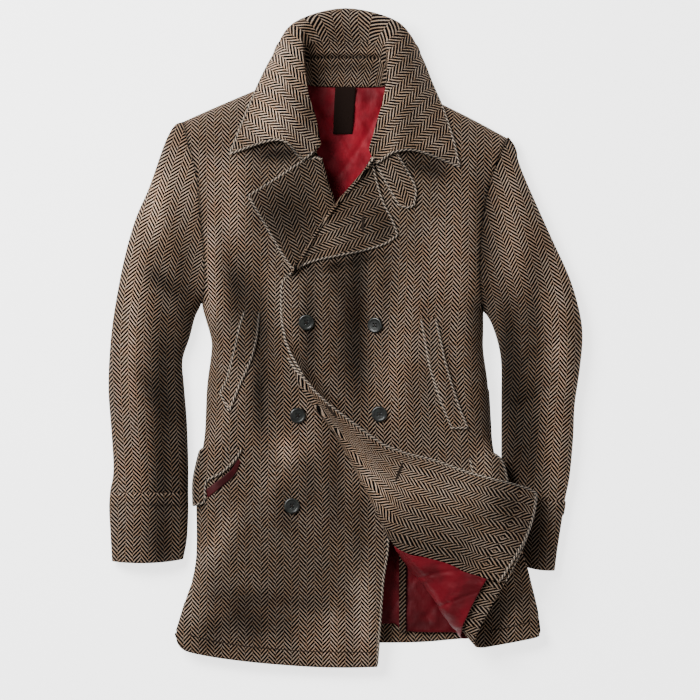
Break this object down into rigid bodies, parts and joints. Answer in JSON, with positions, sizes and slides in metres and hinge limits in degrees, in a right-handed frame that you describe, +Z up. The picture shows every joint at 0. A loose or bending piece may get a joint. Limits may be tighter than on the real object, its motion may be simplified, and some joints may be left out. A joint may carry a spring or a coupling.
{
  "type": "double-breasted jacket",
  "caption": "Hip-length double-breasted herringbone wool jacket laid flat on its back, collar turned up, a lower front corner turned back over its quilted red lining.",
  "frame": {"origin": "on the surface that the jacket lies on, under the middle of its outline", "axes": "+X to the right as seen from above, towards the sleeve on the wearer's left; +Y from the hem to the collar; +Z up from the surface, out of the front of the jacket"},
  "size_m": [0.6621, 0.9223, 0.0872],
  "materials": {
    "tweed": "brown and cream herringbone woollen tweed with a soft nap",
    "lining": "red quilted satin",
    "strip": "plain dark woven tape",
    "horn": "polished dark horn-look buttons with four holes"
  },
  "bodies": {
    "root": {"back_left": "tweed", "back_right": "tweed", "vent_edge": "tweed", "front_under": "tweed", "lapel_under": "tweed", "front_over": "tweed", "lapel_over": "tweed", "facing_over": "tweed", "sleeve_left": "tweed", "cuff_left": "tweed", "sleeve_right": "tweed", "cuff_right": "tweed", "throat_tab": "tweed", "collar_stand": "tweed", "collar_fall": "tweed", "welt_left": "tweed", "welt_right": "tweed", "pocket_flap_left": "tweed", "pocket_flap_right": "tweed", "back_lining": "lining", "lining_over": "lining", "flap_lining_left": "lining", "neck_strip": "strip", "button_1": "horn", "button_2": "horn", "button_3": "horn", "button_4": "horn", "button_5": "horn", "button_6": "horn"}
  },
  "joints": []
}
